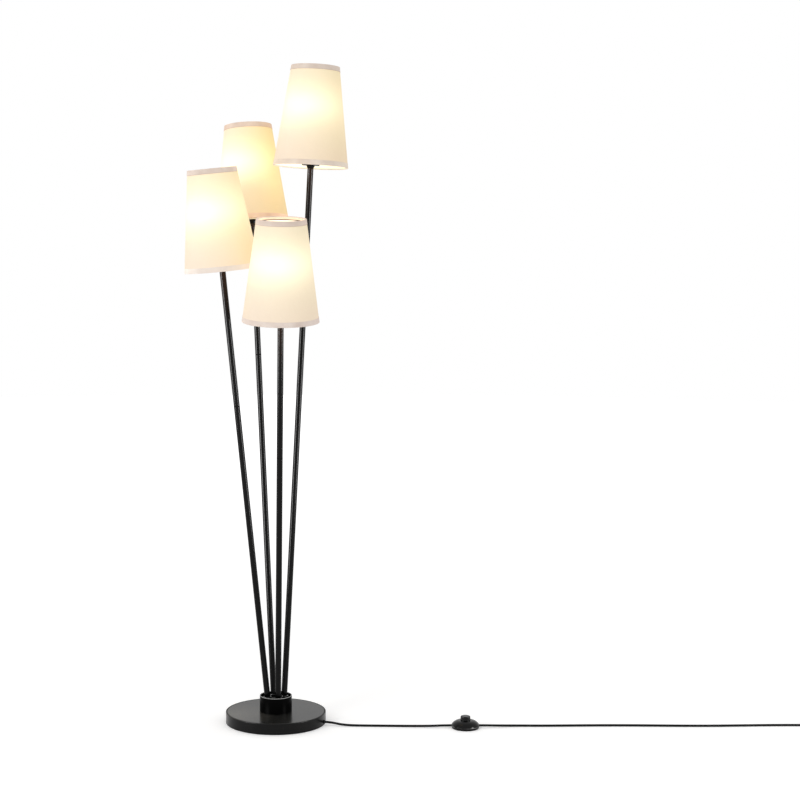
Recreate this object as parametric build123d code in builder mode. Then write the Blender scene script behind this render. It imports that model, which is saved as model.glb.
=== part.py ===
from build123d import *
from math import cos, pi, radians, sin, sqrt, tan
import os

os.makedirs("parts", exist_ok=True)

# Tree floor lamp: a weighted round base with a cup-shaped collar, four poles that lean outwards and end at
# four heights, and a cone shade round a bulb on each. A mains lead with a foot switch lies on the floor.
# Millimetres, +Z up. The origin is the centre of the base's underside. +X is to the right in front view.

# ---------------------------------------------------------------- driving dimensions

# Base
base_radius = 125.0
base_height = 28.0
shell_wall = 1.5
shell_floor_gap = 1.0  # from the floor up to the shell's lower edge
shell_edge_round = 1.2
pad_inset = 5.0  # from the shell's outside in to the pad's edge
pad_thickness = 2.0
pad_edge_round = 0.5
plate_thickness = 1.0
weight_hole_radius = 48.0
wire_hole_radius = 22.0  # the way for the lamp leads, from the collar into the base
plate_screw_circle = 66.0
plate_screw_length = 12.0
pad_hole_radius = 5.5
terminal_block_side = 40.0
terminal_block_height = 11.0
terminal_block_corner = 2.0
terminal_block_chamfer = 0.8

# Collar and the pole holder inside it
collar_radius = 40.2
collar_height = 40.4
collar_wall = 2.0
collar_rim_round = 0.9
holder_height = 30.0
holder_edge_round = 1.0
collar_screw_circle = 30.0
collar_screw_length = 17.0

# Poles: the length of each arm from the collar's rim up to the lower edge of its shade
left_arm_length = 1066.8
rear_arm_length = 1185.5
front_arm_length = 946.5
right_arm_length = 1313.9

# Each arm's azimuth on the holder, its lean, the azimuth of that lean, and its length
arms = {
    "left": (196.8, 5.91, 198.2, left_arm_length),
    "rear": (106.8, 6.93, 112.3, rear_arm_length),
    "front": (286.8, 6.52, 276.1, front_arm_length),
    "right": (16.8, 3.36, 30.1, right_arm_length),
}
pole_circle_radius = 21.9  # of the pole axes, at the height of the collar's rim
pole_rim_drop = 0.4  # from the collar's rim down to the level where that circle is measured
pole_radius = 7.5
pole_wall = 1.0
pole_end_length = 15.0  # the thicker tapped stretch at each end of a section
pole_end_chamfer = 0.5
pole_depth = 22.0  # from that level down to the foot of the pole, along the pole
upper_section_length = 335.0  # from the joint between the sections up to the shade's lower edge
nipple_radius = 5.0
nipple_bore = 3.5
nipple_length = 26.0
seat_nipple_rise = 2.0  # how far above the top of the pole the middle of the uppermost nipple is
lead_radius = 2.2
ferrule_radius = 10.3
ferrule_height = 8.0
ferrule_seat_depth = 2.0
ferrule_outer_round = 1.2
ferrule_inner_round = 0.8

# Lamp holders and bulbs
shade_drop = 5.0  # from the top of the seat, which carries the shade's hub, down to the shade's lower edge
seat_height = 8.0
seat_neck_radius = 8.75
seat_shoulder_radius = 10.5
seat_flange_radius = 22.0
seat_flange_thickness = 2.6
seat_edge_round = 1.0
socket_radius = 16.7
socket_height = 60.0
socket_edge_round = 0.8
socket_floor = 23.0
socket_bore = 13.9
screw_shell_thickness = 0.5
screw_shell_start = 28.0
screw_shell_rim_gap = 2.0
contact_foot_radius = 7.0
contact_foot_thickness = 1.0
contact_tip_radius = 3.0
bulb_cap_radius = 13.0
bulb_cap_tip = 27.3  # the height of the bulb's contact tip above the seat
bulb_cap_length = 27.7
bulb_cap_tip_radius = 4.5
bulb_cap_button_radius = 5.5
bulb_cap_button_height = 1.2
bulb_cap_cone_inset = 1.5
bulb_cap_cone_height = 4.5
bulb_cap_thread_start = 6.5
bulb_radius = 30.0
bulb_length = 80.0  # of the glass, above its cap
bulb_wall = 1.0
bulb_neck_height = 9.0
bulb_neck_step = 1.2  # how far the glass stands out past its cap at the neck
bulb_mouth_inset = 0.2
bulb_crown_start = -30.0  # where the round crown begins, in degrees above its widest level

# Shades
shade_bottom_radius = 92.2
shade_top_radius = 59.4
shade_height = 244.0
shade_wall = 1.2
tape_width = 12.0
tape_thickness = 0.5
frame_wire_radius = 1.5
hub_radius = 21.0
hub_thickness = 2.0
spoke_count = 3
spoke_root_rise = 0.4  # how much higher than their radius the spokes leave the hub, clear of the seat's edge
lock_ring_radius = 20.0
lock_ring_height = 6.0
lock_ring_round = 1.0

# Mains lead
cord_radius = 2.9
cord_exit_azimuth = -15.0
cord_exit_height = 8.5
bush_wall = 1.1
bush_flange_radius = 5.0
bush_flange_thickness = 2.0
bush_edge_round = 0.8
bush_groove_gap = 0.2

# Foot switch
switch_x = 470.0
switch_y = -56.0
switch_radius = 35.3
switch_foot_radius = 33.4
switch_base_height = 5.0
switch_edge_inset = 0.7  # from the cover's outside in to the top of the base's flare
switch_foot_round = 0.8
switch_rim_height = 7.0
switch_dome_height = 13.5
dome_middle_reach = 0.8  # a middle point on the dome's elliptical profile, as shares of its two radii
dome_middle_rise = 0.6
switch_wall = 1.8
switch_cord_height = 6.0
switch_cord_depth = 8.3  # how far the lead reaches into the housing
switch_screw_circle = 23.0
switch_screw_length = 9.0
switch_screw_head_height = 1.0
switch_boss_radius = 4.0
switch_boss_height = 9.0
switch_boss_skin = 2.0  # what the boss keeps above its screw hole
spigot_radius = 1.5  # of the pin that the rotor turns on
button_radius = 12.4
button_top_radius = 12.0
button_top = 30.0
button_wall = 1.6
button_flange = 2.4
button_flange_thickness = 1.6
button_flange_rise = 0.83  # how far up the inside of the dome the flange stands, as a share
button_edge_round = 2.4
button_travel = 4.0
stem_radius = 4.0
stem_dip = 1.2  # how far below the mechanism's top the stem goes when the button is pressed
mechanism_radius = 12.0
mechanism_height = 8.0
mechanism_wall = 2.5
mechanism_lid = 1.2
rotor_radius = 8.5
rotor_height = 3.5
rotor_teeth = 4
rotor_tooth_circle = 5.5
rotor_tooth_length = 3.4
rotor_tooth_width = 1.6
rotor_tooth_height = 1.4
terminal_length = 8.0
terminal_width = 8.0
terminal_height = 7.5
spring_radius = 6.2
spring_wire_radius = 0.45
spring_turns = 5

# Coil of the lead that is put away, and the plug on its end
coil_x = 1358.0
coil_entry_y = -44.0
coil_inner_radius = 25.0
coil_gap = 0.5
quarters_inwards = 6
quarters_outwards = 7
plug_width = 25.0
plug_length = 23.0
plug_corner_round = 4.0
plug_face_round = 1.0
plug_shoulder_round = 3.0
relief_length = 25.0
relief_overlap = 1.0  # how far the strain relief reaches into the plug's body
relief_tip_radius = 3.4
relief_root_radius = 7.0
blade_spacing = 12.7
blade_width = 6.35
blade_thickness = 1.5
blade_length = 17.5
blade_chamfer = 0.4

# Clearances
loose_gap = 0.3  # between pieces that move, or that only stand beside each other
slide_gap = 0.1  # radial, round what is pushed or screwed into a hole
glue_gap = 0.05  # between pieces that are glued or pressed together
floor_gap = 0.05  # under what lies loose on the floor

# ---------------------------------------------------------------- levels and planes worked out from them

pad_radius = base_radius - pad_inset
plate_top = pad_thickness + plate_thickness
shell_under_top = base_height - shell_wall
collar_floor_top = base_height + collar_wall
collar_rim = base_height + collar_height
pole_level = collar_rim - pole_rim_drop
holder_top = collar_floor_top + holder_height
cord_diameter = 2 * cord_radius
cord_floor_height = cord_radius + floor_gap
shade_slope = (shade_bottom_radius - shade_top_radius) / shade_height
shade_liner_radius = shade_bottom_radius - shade_wall

stand = Plane.XY
switch = Plane((switch_x, switch_y, 0))
coil_pitch = cord_diameter + coil_gap


def polar(radius, azimuth, height=0.0):
    """A point at a radius and an azimuth in degrees."""
    return Vector(radius * cos(radians(azimuth)), radius * sin(radians(azimuth)), height)


def arm_plane(azimuth, lean, lean_azimuth):
    """The plane square to an arm's pole at the pole level, with its z axis up the pole."""
    slope = tan(radians(lean))
    upwards = Vector(0, 0, 1) + polar(slope, lean_azimuth)
    foot = polar(pole_circle_radius, azimuth, pole_level)
    return Plane(foot, x_dir=(upwards.Z, 0, -upwards.X), z_dir=upwards)


arm_planes = {name: arm_plane(*arm[:3]) for name, arm in arms.items()}
shade_planes = {name: arm_planes[name].offset(arms[name][3]) for name in arms}
seat_planes = {name: plane.offset(shade_drop) for name, plane in shade_planes.items()}


def band(inner, outer, bottom, top):
    """The outline of a plain ring for turn()."""
    return [(inner, bottom), (outer, bottom), (outer, top), (inner, top)]


def turn(plane, outline, rounds=(), mode=Mode.ADD):
    """Turn a closed outline of (radius, height) points about the plane's z axis, and round some corners."""
    with BuildSketch(Plane(plane.origin, x_dir=plane.x_dir, z_dir=-plane.y_dir)) as profile:
        with BuildLine():
            Polyline(*outline, close=True)
        make_face()
        for corner, radius in rounds:
            fillet(profile.vertices().sort_by_distance(corner)[0], radius)
    revolve(profile.sketch, axis=Axis(plane.origin, plane.z_dir), mode=mode)


def bore_along(start, direction, radius, length, mode=Mode.SUBTRACT):
    """A round hole, or with Mode.ADD a round bar, from a point along a direction."""
    with BuildSketch(Plane(start, z_dir=direction)) as section:
        Circle(radius)
    extrude(section.sketch, amount=length, mode=mode)


def save(piece, name):
    """Label a finished piece and write it as a STEP file."""
    piece.part.label = name
    export_step(piece.part, f"parts/{name}.step")


# ---------------------------------------------------------------- base

cord_exit_direction = polar(1, cord_exit_azimuth)
plate_screw_azimuths = [30.0 + 90.0 * turn_index for turn_index in range(4)]
collar_screw_azimuths = [arms["right"][0] + 45.0 + 90.0 * turn_index for turn_index in range(4)]
plate_screw_radius = 2.0
collar_screw_radius = 2.5
bush_neck_radius = cord_radius + slide_gap + bush_wall
shell_inner_radius = base_radius - shell_wall
bush_outer_face = base_radius + glue_gap + bush_flange_thickness
shell_hole_start = shell_inner_radius - shell_wall
shell_hole_depth = 3 * shell_wall  # right through the wall from inside, with room to spare

with BuildPart() as base_pad:
    turn(stand, band(0, pad_radius, 0, pad_thickness), [((pad_radius, 0), pad_edge_round)])
    for azimuth in plate_screw_azimuths:
        bore_along(polar(plate_screw_circle, azimuth), (0, 0, 1), pad_hole_radius, pad_thickness)
save(base_pad, "base_pad")

with BuildPart() as base_plate:
    turn(stand, band(0, shell_inner_radius - loose_gap, pad_thickness, plate_top))
    for azimuth in plate_screw_azimuths:
        hole = polar(plate_screw_circle, azimuth, pad_thickness)
        bore_along(hole, (0, 0, 1), plate_screw_radius + slide_gap, plate_thickness)
save(base_plate, "base_plate")

screw_head_height = 1.6
screw_head_overhang = 2.0
with BuildPart() as plate_screws:
    for azimuth in plate_screw_azimuths:
        seat = polar(plate_screw_circle, azimuth, pad_thickness)
        head_radius = plate_screw_radius + screw_head_overhang
        bore_along(seat, (0, 0, -1), head_radius, screw_head_height, Mode.ADD)
        bore_along(seat, (0, 0, 1), plate_screw_radius, plate_screw_length, Mode.ADD)
save(plate_screws, "plate_screws")

channel_height = cord_exit_height + bush_flange_radius + loose_gap - plate_top
with BuildPart() as base_weight:
    turn(stand, band(weight_hole_radius, shell_inner_radius - loose_gap, plate_top, shell_under_top))
    with BuildSketch(Plane(polar(0, 0, plate_top), x_dir=cord_exit_direction, z_dir=(0, 0, 1))):
        with Locations((base_radius / 2, 0)):
            Rectangle(base_radius, 2 * (bush_flange_radius + loose_gap))
    extrude(amount=channel_height, mode=Mode.SUBTRACT)
    for azimuth in plate_screw_azimuths:
        hole = polar(plate_screw_circle, azimuth, plate_top)
        bore_along(hole, (0, 0, 1), plate_screw_radius + glue_gap, plate_screw_length)
save(base_weight, "base_weight")

with BuildPart() as base_shell:
    shell_outline = [
        (shell_inner_radius, shell_floor_gap),
        (base_radius, shell_floor_gap),
        (base_radius, base_height),
        (wire_hole_radius, base_height),
        (wire_hole_radius, shell_under_top),
        (shell_inner_radius, shell_under_top),
    ]
    turn(stand, shell_outline, [((base_radius, base_height), shell_edge_round)])
    hole = polar(shell_hole_start, cord_exit_azimuth, cord_exit_height)
    bore_along(hole, cord_exit_direction, bush_neck_radius + slide_gap, shell_hole_depth)
    for azimuth in collar_screw_azimuths:
        hole = polar(collar_screw_circle, azimuth, shell_under_top)
        bore_along(hole, (0, 0, 1), collar_screw_radius + slide_gap, shell_wall)
save(base_shell, "base_shell")

with BuildPart() as cord_bush:
    bush_plane = Plane(polar(0, 0, cord_exit_height), x_dir=(0, 0, 1), z_dir=cord_exit_direction)
    groove_back = shell_inner_radius - 2 * glue_gap - bush_groove_gap
    bush_back = shell_inner_radius - 2 * glue_gap - bush_flange_thickness
    bush_outline = [
        (cord_radius + slide_gap, bush_back),
        (bush_flange_radius, bush_back),
        (bush_flange_radius, groove_back),
        (bush_neck_radius, groove_back),
        (bush_neck_radius, base_radius + glue_gap),
        (bush_flange_radius, base_radius + glue_gap),
        (bush_flange_radius, bush_outer_face),
        (cord_radius + slide_gap, bush_outer_face),
    ]
    turn(bush_plane, bush_outline, [((bush_flange_radius, bush_outer_face), bush_edge_round)])
save(cord_bush, "cord_bush")

with BuildPart() as terminal_block:
    with BuildSketch(Plane(polar(0, 0, plate_top), x_dir=cord_exit_direction, z_dir=(0, 0, 1))):
        RectangleRounded(terminal_block_side, terminal_block_side, terminal_block_corner)
    extrude(amount=terminal_block_height)
    chamfer(terminal_block.faces().sort_by(Axis.Z)[-1].edges(), terminal_block_chamfer)
save(terminal_block, "terminal_block")

with BuildPart() as cord_inner:
    inner_start = polar(terminal_block_side / 2 + glue_gap, cord_exit_azimuth, cord_exit_height)
    inner_length = bush_outer_face - terminal_block_side / 2 - glue_gap
    bore_along(inner_start, cord_exit_direction, cord_radius, inner_length, Mode.ADD)
save(cord_inner, "cord_inner")

# ---------------------------------------------------------------- collar and pole holder

with BuildPart() as collar:
    collar_outline = [
        (wire_hole_radius, base_height),
        (collar_radius, base_height),
        (collar_radius, collar_rim),
        (collar_radius - collar_wall, collar_rim),
        (collar_radius - collar_wall, collar_floor_top),
        (wire_hole_radius, collar_floor_top),
    ]
    rim_corners = [(collar_radius, collar_rim), (collar_radius - collar_wall, collar_rim)]
    turn(stand, collar_outline, [(corner, collar_rim_round) for corner in rim_corners])
    for azimuth in collar_screw_azimuths:
        hole = polar(collar_screw_circle, azimuth, base_height)
        bore_along(hole, (0, 0, 1), collar_screw_radius + slide_gap, collar_wall)
save(collar, "collar")

ferrule_bottom = holder_top - pole_level - ferrule_seat_depth
pole_bore_radius = pole_radius + slide_gap
with BuildPart() as pole_holder:
    holder_radius = collar_radius - collar_wall - loose_gap
    holder_edge = ((holder_radius, holder_top), holder_edge_round)
    turn(stand, band(0, holder_radius, collar_floor_top, holder_top), [holder_edge])
    for plane in arm_planes.values():
        stepped_bore = [
            (0, -2 * holder_height),
            (nipple_radius + glue_gap, -2 * holder_height),
            (nipple_radius + glue_gap, -pole_depth),
            (pole_bore_radius, -pole_depth),
            (pole_bore_radius, ferrule_bottom),
            (ferrule_radius + glue_gap, ferrule_bottom),
            (ferrule_radius + glue_gap, holder_height),
            (0, holder_height),
        ]
        turn(plane, stepped_bore, mode=Mode.SUBTRACT)
    for azimuth in collar_screw_azimuths:
        hole = polar(collar_screw_circle, azimuth, collar_floor_top)
        depth = collar_screw_length - shell_wall - collar_wall + loose_gap
        bore_along(hole, (0, 0, 1), collar_screw_radius + glue_gap, depth)
save(pole_holder, "pole_holder")

with BuildPart() as collar_screws:
    for azimuth in collar_screw_azimuths:
        seat = polar(collar_screw_circle, azimuth, shell_under_top)
        bore_along(seat, (0, 0, -1), collar_screw_radius + screw_head_overhang, screw_head_height, Mode.ADD)
        bore_along(seat, (0, 0, 1), collar_screw_radius, collar_screw_length, Mode.ADD)
save(collar_screws, "collar_screws")

with BuildPart() as pole_ferrules:
    for plane in arm_planes.values():
        ferrule_top = ferrule_bottom + ferrule_height
        ring = band(pole_bore_radius, ferrule_radius, ferrule_bottom, ferrule_top)
        outer_edge = ((ferrule_radius, ferrule_top), ferrule_outer_round)
        inner_edge = ((pole_bore_radius, ferrule_top), ferrule_inner_round)
        turn(plane, ring, [outer_edge, inner_edge])
save(pole_ferrules, "pole_ferrules")

# ---------------------------------------------------------------- poles, their joints and the leads inside


def pole_section(plane, bottom, top):
    """A tube with thicker tapped ends."""
    bore = pole_radius - pole_wall
    end_bore = nipple_radius + glue_gap
    outline = [
        (end_bore, bottom),
        (pole_radius - pole_end_chamfer, bottom),
        (pole_radius, bottom + pole_end_chamfer),
        (pole_radius, top - pole_end_chamfer),
        (pole_radius - pole_end_chamfer, top),
        (end_bore, top),
        (end_bore, top - pole_end_length),
        (bore, top - pole_end_length),
        (bore, bottom + pole_end_length),
        (end_bore, bottom + pole_end_length),
    ]
    turn(plane, outline)


for name, plane in arm_planes.items():
    shade_level = arms[name][3]
    joint_level = shade_level - upper_section_length
    with BuildPart() as pole_lower:
        pole_section(plane, -pole_depth, joint_level)
    save(pole_lower, f"pole_lower_{name}")
    with BuildPart() as pole_upper:
        pole_section(plane, joint_level, shade_level + shade_drop - seat_height)
    save(pole_upper, f"pole_upper_{name}")

with BuildPart() as threaded_nipples:
    for name, plane in arm_planes.items():
        shade_level = arms[name][3]
        joint_level = shade_level - upper_section_length
        pole_top = shade_level + shade_drop - seat_height
        middles = [-pole_depth - loose_gap, joint_level, pole_top + seat_nipple_rise]
        for middle in middles:
            ends = (middle - nipple_length / 2, middle + nipple_length / 2)
            turn(plane, band(nipple_bore, nipple_radius, *ends))
save(threaded_nipples, "threaded_nipples")

with BuildPart() as lamp_leads:
    block_top = plate_top + terminal_block_height
    for name, plane in arm_planes.items():
        lead_start = (block_top + 2 * loose_gap - pole_level) / plane.z_dir.Z
        lead_end = arms[name][3] + shade_drop + socket_floor - loose_gap
        turn(plane, band(0, lead_radius, lead_start, lead_end))
save(lamp_leads, "lamp_leads")

# ---------------------------------------------------------------- lamp holders and bulbs

with BuildPart() as shade_seats:
    for plane in seat_planes.values():
        seat_outline = [
            (nipple_radius + glue_gap, -seat_height),
            (seat_neck_radius, -seat_height),
            (seat_shoulder_radius, -seat_flange_thickness),
            (seat_flange_radius, -seat_flange_thickness),
            (seat_flange_radius, 0),
            (nipple_radius + glue_gap, 0),
        ]
        turn(plane, seat_outline, [((seat_flange_radius, -seat_flange_thickness), seat_edge_round)])
save(shade_seats, "shade_seats")

for name, plane in seat_planes.items():
    with BuildPart() as socket:
        socket_outline = [
            (nipple_radius + glue_gap, 0),
            (socket_radius, 0),
            (socket_radius, socket_height),
            (socket_bore, socket_height),
            (socket_bore, socket_floor),
            (nipple_radius + glue_gap, socket_floor),
        ]
        turn(plane, socket_outline, [((socket_radius, socket_height), socket_edge_round)])
    save(socket, f"socket_{name}")

with BuildPart() as socket_contacts:
    for plane in seat_planes.values():
        shell_outer = socket_bore - glue_gap
        shell_inner = shell_outer - screw_shell_thickness
        shell_top = socket_height - screw_shell_rim_gap
        turn(plane, band(shell_inner, shell_outer, screw_shell_start, shell_top))
        centre_contact = [
            (0, socket_floor + glue_gap),
            (contact_foot_radius, socket_floor + glue_gap),
            (contact_foot_radius, socket_floor + contact_foot_thickness),
            (contact_tip_radius, bulb_cap_tip - loose_gap),
            (0, bulb_cap_tip - loose_gap),
        ]
        turn(plane, centre_contact)
save(socket_contacts, "socket_contacts")

bulb_cap_end = bulb_cap_tip + bulb_cap_length
with BuildPart() as bulb_caps:
    for plane in seat_planes.values():
        cap_outline = [
            (0, bulb_cap_tip),
            (bulb_cap_tip_radius, bulb_cap_tip),
            (bulb_cap_button_radius, bulb_cap_tip + bulb_cap_button_height),
            (bulb_cap_radius - bulb_cap_cone_inset, bulb_cap_tip + bulb_cap_cone_height),
            (bulb_cap_radius, bulb_cap_tip + bulb_cap_thread_start),
            (bulb_cap_radius, bulb_cap_end),
            (0, bulb_cap_end),
        ]
        turn(plane, cap_outline)
save(bulb_caps, "bulb_caps")


def bulb_outline(inset):
    """Half of a pear-shaped bulb's outline, drawn in from the outer surface by an inset."""
    centre = bulb_cap_end + bulb_length - bulb_radius
    radius = bulb_radius - inset
    lean = radians(bulb_crown_start)
    shoulder = (radius * cos(lean), centre + radius * sin(lean))
    neck = (bulb_cap_radius + bulb_neck_step - inset, bulb_cap_end + bulb_neck_height)
    mouth = (bulb_cap_radius - bulb_mouth_inset - inset, bulb_cap_end + glue_gap)
    CenterArc((0, centre), radius, bulb_crown_start, 90 - bulb_crown_start)
    TangentArc(shoulder, neck, tangent=(sin(lean), -cos(lean)))
    Polyline(neck, mouth, (0, mouth[1]), (0, centre + radius))


for name, plane in seat_planes.items():
    with BuildPart() as bulb:
        with BuildSketch(Plane(plane.origin, x_dir=plane.x_dir, z_dir=-plane.y_dir)):
            with BuildLine():
                bulb_outline(0)
            make_face()
            with BuildLine():
                bulb_outline(bulb_wall)
            make_face(mode=Mode.SUBTRACT)
        revolve(axis=Axis(plane.origin, plane.z_dir))
    save(bulb, f"bulb_{name}")

with BuildPart() as shade_lock_rings:
    for plane in seat_planes.values():
        ring_bottom = hub_thickness + glue_gap
        ring_top = ring_bottom + lock_ring_height
        ring = band(socket_radius + slide_gap, lock_ring_radius, ring_bottom, ring_top)
        turn(plane, ring, [((lock_ring_radius, ring_top), lock_ring_round)])
save(shade_lock_rings, "shade_lock_rings")

# ---------------------------------------------------------------- shades


def cone_radius(height):
    """The shade's outer radius at a height above its lower edge."""
    return shade_bottom_radius - shade_slope * height


def edge_tape(edge, inwards):
    """Tape folded over a shade's edge, reaching from it in the given direction, +1 up or -1 down."""
    reach = edge + inwards * tape_width
    fold = edge - inwards * tape_thickness
    close = edge - inwards * glue_gap
    outline = [
        (cone_radius(edge) - shade_wall, fold),
        (cone_radius(fold) + tape_thickness, fold),
        (cone_radius(reach) + tape_thickness, reach),
        (cone_radius(reach) + glue_gap, reach),
        (cone_radius(close) + glue_gap, close),
        (cone_radius(edge) - shade_wall, close),
    ]
    return outline


for name, plane in shade_planes.items():
    with BuildPart() as shade:
        cone = [
            (shade_liner_radius, 0),
            (shade_bottom_radius, 0),
            (shade_top_radius, shade_height),
            (shade_top_radius - shade_wall, shade_height),
        ]
        turn(plane, cone)
    save(shade, f"shade_{name}")

    with BuildPart() as shade_tape:
        turn(plane, edge_tape(0, 1))
        turn(plane, edge_tape(shade_height, -1))
    save(shade_tape, f"shade_tape_{name}")

    with BuildPart() as shade_frame:
        wire_level = frame_wire_radius + slide_gap
        top_level = shade_height - frame_wire_radius - slide_gap
        fit = shade_wall + frame_wire_radius + slide_gap
        bottom_ring_radius = cone_radius(wire_level) - fit
        top_ring_radius = cone_radius(top_level) - fit
        spoke_root_radius = hub_radius - frame_wire_radius / 3
        root_level = shade_drop + frame_wire_radius + spoke_root_rise
        turn(seat_planes[name], band(socket_radius + loose_gap, hub_radius, glue_gap, hub_thickness))
        for spoke in range(spoke_count):
            azimuth = 90 + spoke * 360 / spoke_count
            root = plane.from_local_coords(polar(spoke_root_radius, azimuth, root_level))
            tip = plane.from_local_coords(polar(bottom_ring_radius, azimuth, wire_level))
            bore_along(root, tip - root, frame_wire_radius, (tip - root).length, Mode.ADD)
        for level, ring_radius in ((wire_level, bottom_ring_radius), (top_level, top_ring_radius)):
            wire_centre = plane.from_local_coords((ring_radius, 0, level))
            with BuildSketch(Plane(wire_centre, x_dir=plane.x_dir, z_dir=-plane.y_dir)):
                Circle(frame_wire_radius)
            revolve(axis=Axis(plane.origin, plane.z_dir))
    save(shade_frame, f"shade_frame_{name}")

# ---------------------------------------------------------------- foot switch

button_hole_radius = button_radius + loose_gap
cord_hole_radius = cord_radius + slide_gap
switch_floor = 2.0
screw_seat_height = 1.4
cover_screw_radius = 1.3
switch_screw_azimuths = (90.0, 270.0)


def cord_hole():
    """The hole right through the housing for the lead, along X."""
    start = switch.from_local_coords((-2 * switch_radius, 0, switch_cord_height))
    bore_along(start, (1, 0, 0), cord_hole_radius, 4 * switch_radius)


with BuildPart() as switch_base:
    foot_outline = [
        (0, 0),
        (switch_foot_radius, 0),
        (switch_radius - switch_edge_inset, switch_base_height),
        (switch_radius - switch_edge_inset - switch_wall, switch_base_height),
        (switch_foot_radius - switch_wall, switch_floor),
        (0, switch_floor),
    ]
    turn(switch, foot_outline, [((switch_foot_radius, 0), switch_foot_round)])
    spigot_foot = switch.origin + Vector(0, 0, switch_floor)
    bore_along(spigot_foot, (0, 0, 1), spigot_radius, rotor_height + rotor_tooth_height, Mode.ADD)
    for azimuth in switch_screw_azimuths:
        seat = switch.origin + polar(switch_screw_circle, azimuth)
        bore_along(seat, (0, 0, 1), 2.5 * cover_screw_radius, screw_seat_height)
        bore_along(seat, (0, 0, 1), cover_screw_radius + slide_gap, switch_floor)
    cord_hole()
save(switch_base, "switch_base")

with BuildPart() as switch_cover:
    outer_end = switch_rim_height + switch_dome_height * sqrt(1 - (button_hole_radius / switch_radius) ** 2)
    outer_middle = switch_rim_height + switch_dome_height * dome_middle_rise
    inner_radius = switch_radius - switch_wall
    inner_rise = switch_dome_height - switch_wall
    inner_end = switch_rim_height + inner_rise * sqrt(1 - (button_hole_radius / inner_radius) ** 2)
    inner_middle = switch_rim_height + inner_rise * dome_middle_rise
    with BuildSketch(Plane(switch.origin, x_dir=(1, 0, 0), z_dir=(0, -1, 0))):
        with BuildLine():
            Polyline(
                (inner_radius, switch_rim_height),
                (inner_radius, switch_base_height + glue_gap),
                (switch_radius, switch_base_height + glue_gap),
                (switch_radius, switch_rim_height),
            )
            ThreePointArc(
                (switch_radius, switch_rim_height),
                (switch_radius * dome_middle_reach, outer_middle),
                (button_hole_radius, outer_end),
            )
            Line((button_hole_radius, outer_end), (button_hole_radius, inner_end))
            ThreePointArc(
                (button_hole_radius, inner_end),
                (inner_radius * dome_middle_reach, inner_middle),
                (inner_radius, switch_rim_height),
            )
        make_face()
    revolve(axis=Axis(switch.origin, (0, 0, 1)))
    boss_bottom = switch_base_height + glue_gap
    for azimuth in switch_screw_azimuths:
        boss = switch.origin + polar(switch_screw_circle, azimuth, boss_bottom)
        bore_along(boss, (0, 0, 1), switch_boss_radius, switch_boss_height, Mode.ADD)
        hole_depth = switch_boss_height - switch_boss_skin
        bore_along(boss, (0, 0, 1), cover_screw_radius + glue_gap, hole_depth)
    cord_hole()
save(switch_cover, "switch_cover")

with BuildPart() as switch_screws:
    for azimuth in switch_screw_azimuths:
        seat = switch.origin + polar(switch_screw_circle, azimuth, screw_seat_height - glue_gap)
        bore_along(seat, (0, 0, -1), 2.3 * cover_screw_radius, switch_screw_head_height, Mode.ADD)
        bore_along(seat, (0, 0, 1), cover_screw_radius, switch_screw_length, Mode.ADD)
save(switch_screws, "switch_screws")

mechanism_top = switch_floor + mechanism_height
with BuildPart() as switch_mechanism:
    mechanism_outline = [
        (mechanism_radius - mechanism_wall, switch_floor),
        (mechanism_radius, switch_floor),
        (mechanism_radius, mechanism_top),
        (stem_radius + loose_gap, mechanism_top),
        (stem_radius + loose_gap, mechanism_top - mechanism_lid),
        (mechanism_radius - mechanism_wall, mechanism_top - mechanism_lid),
    ]
    turn(switch, mechanism_outline)
save(switch_mechanism, "switch_mechanism")

with BuildPart() as switch_rotor:
    rotor_bottom = switch_floor + loose_gap
    rotor_top = rotor_bottom + rotor_height
    turn(switch, band(spigot_radius + glue_gap, rotor_radius, rotor_bottom, rotor_top))
    with BuildSketch(Plane(switch.origin + Vector(0, 0, rotor_top))):
        with PolarLocations(rotor_tooth_circle, rotor_teeth):
            Rectangle(rotor_tooth_length, rotor_tooth_width)
    extrude(amount=rotor_tooth_height)
save(switch_rotor, "switch_rotor")

with BuildPart() as switch_terminals:
    terminal_face = switch_radius - switch_cord_depth - glue_gap
    for side in (-1, 1):
        middle = side * (terminal_face - terminal_length / 2)
        with BuildSketch(Plane(switch.origin + Vector(middle, 0, switch_floor))):
            Rectangle(terminal_length, terminal_width)
        extrude(amount=terminal_height)
save(switch_terminals, "switch_terminals")

flange_radius = button_radius + button_flange
flange_top = switch_rim_height + (switch_dome_height - switch_wall) * button_flange_rise
flange_bottom = flange_top - button_flange_thickness
button_inner = button_top_radius - button_wall
button_ceiling = button_top - button_wall
stem_end = mechanism_top + button_travel - stem_dip
with BuildPart() as switch_button:
    button_outline = [
        (0, stem_end),
        (stem_radius, stem_end),
        (stem_radius, button_ceiling),
        (button_inner, button_ceiling),
        (button_inner, flange_bottom),
        (flange_radius, flange_bottom),
        (flange_radius, flange_top),
        (button_radius, flange_top),
        (button_top_radius, button_top),
        (0, button_top),
    ]
    turn(switch, button_outline, [((button_top_radius, button_top), button_edge_round)])
save(switch_button, "switch_button")


def winding(points, directions):
    """A smooth line through points: two arcs between neighbours, along the direction given at each point."""
    for start, leave, end, arrive in zip(points, directions, points[1:], directions[1:]):
        chord = end - start
        turning = leave.dot(arrive) - 1
        across = chord.dot(leave + arrive)
        reach = (across - sqrt(across**2 - 2 * turning * chord.dot(chord))) / (2 * turning)
        near, far = start + leave * reach, end - arrive * reach
        middle = (near + far) * 0.5
        TangentArc(start, middle, tangent=leave)
        TangentArc(middle, end, tangent=far - near)


def sweep_round(path, radius):
    """A round wire along a path."""
    with BuildSketch(Plane(path @ 0, z_dir=path % 0)) as section:
        Circle(radius)
    sweep(section.sketch, path=path)


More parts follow.
